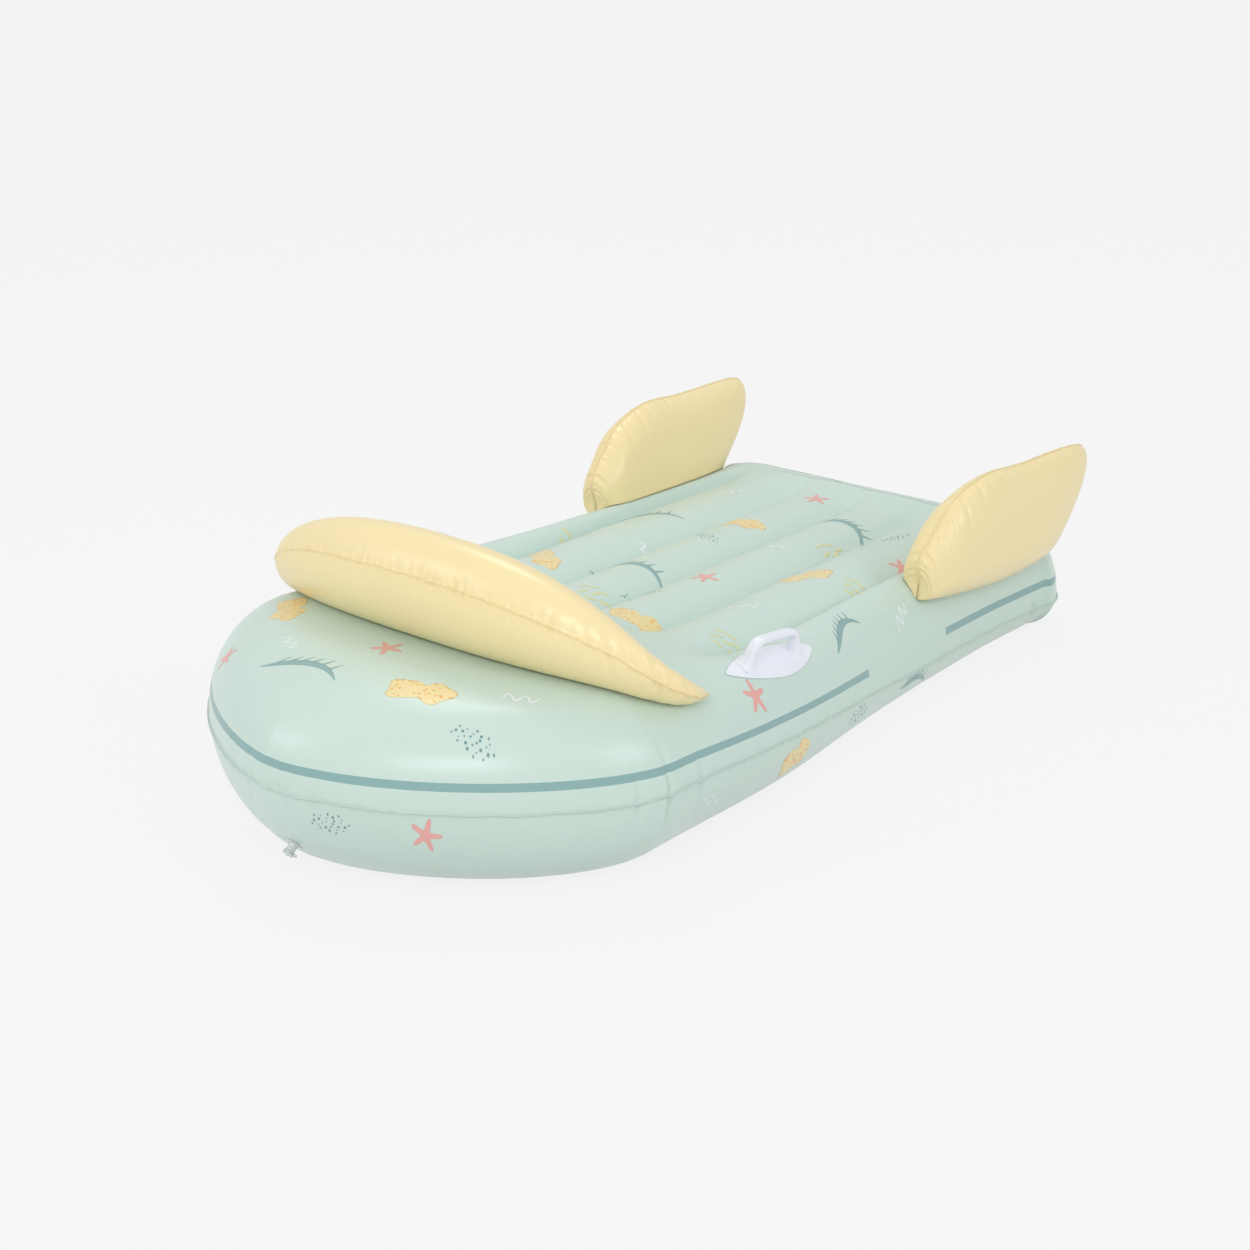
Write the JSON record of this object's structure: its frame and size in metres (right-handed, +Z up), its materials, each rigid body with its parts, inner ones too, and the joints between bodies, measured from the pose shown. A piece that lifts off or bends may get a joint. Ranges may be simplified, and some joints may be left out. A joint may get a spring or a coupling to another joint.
{
  "type": "inflatable pool lounger",
  "caption": "Inflatable surfboard lounger with a rounded nose, ribbed deck, crescent headrest, two upright tail fins, side grab handles and push-in air valves.",
  "frame": {"origin": "centre of the overall footprint, on the plane the float rests on", "axes": "+Z up, nose and headrest towards -Y, fins towards +Y, +X to the float's right seen from behind"},
  "size_m": [0.75, 1.45, 0.3868],
  "materials": {
    "film": "soft sheen vinyl film",
    "web_film": "plain vinyl film",
    "yellow_film": "soft sheen vinyl film",
    "white_moulding": "smooth moulded vinyl",
    "clear_moulding": "clear moulded vinyl"
  },
  "bodies": {
    "hull": {"top_skin": "film", "bottom_skin": "film", "web_centre": "web_film", "web_right_inner": "web_film", "web_left_inner": "web_film", "web_right_outer": "web_film", "web_left_outer": "web_film", "headrest_lower_panel": "yellow_film", "headrest_upper_panel": "yellow_film", "right_fin_outer_panel": "yellow_film", "right_fin_inner_panel": "yellow_film", "left_fin_outer_panel": "yellow_film", "left_fin_inner_panel": "yellow_film", "right_handle": "white_moulding", "left_handle": "white_moulding", "nose_valve_flange": "clear_moulding", "headrest_valve_flange": "clear_moulding"},
    "nose_stem": {"nose_valve_stem": "clear_moulding", "nose_valve_tether": "clear_moulding"},
    "nose_plug": {"nose_valve_plug": "clear_moulding"},
    "nose_flap": {"nose_valve_flap": "clear_moulding"},
    "headrest_stem": {"headrest_valve_stem": "clear_moulding", "headrest_valve_tether": "clear_moulding"},
    "headrest_plug": {"headrest_valve_plug": "clear_moulding"},
    "headrest_flap": {"headrest_valve_flap": "clear_moulding"}
  },
  "joints": [
    {"name": "nose_stem_stow", "type": "slide", "parent": "hull", "child": "nose_stem", "axis": [0, 0.7879, 0.6158], "range_m": [0, 0.01]},
    {"name": "nose_plug_pull", "type": "slide", "parent": "nose_stem", "child": "nose_plug", "axis": [0, -0.7879, -0.6158], "range_m": [0, 0.009], "deforming": ["nose_valve_tether"]},
    {"name": "nose_flap_swing", "type": "hinge", "parent": "nose_stem", "child": "nose_flap", "pos_m": [0.0048, -0.68644, 0.04888], "axis": [0, 0.6158, -0.7879], "range_deg": [0, 40], "stiffness_Nm_per_rad": 0.0001, "springref_deg": -11.46},
    {"name": "headrest_stem_stow", "type": "slide", "parent": "hull", "child": "headrest_stem", "axis": [0.0122, -0.9961, -0.0869], "range_m": [0, 0.01]},
    {"name": "headrest_plug_pull", "type": "slide", "parent": "headrest_stem", "child": "headrest_plug", "axis": [-0.0122, 0.9961, 0.0869], "range_m": [0, 0.009], "deforming": ["headrest_valve_tether"]},
    {"name": "headrest_flap_swing", "type": "hinge", "parent": "headrest_stem", "child": "headrest_flap", "pos_m": [-0.14871, -0.38814, 0.3123], "axis": [0, -0.0869, 0.9962], "range_deg": [0, 40], "stiffness_Nm_per_rad": 0.0001, "springref_deg": -11.46}
  ]
}
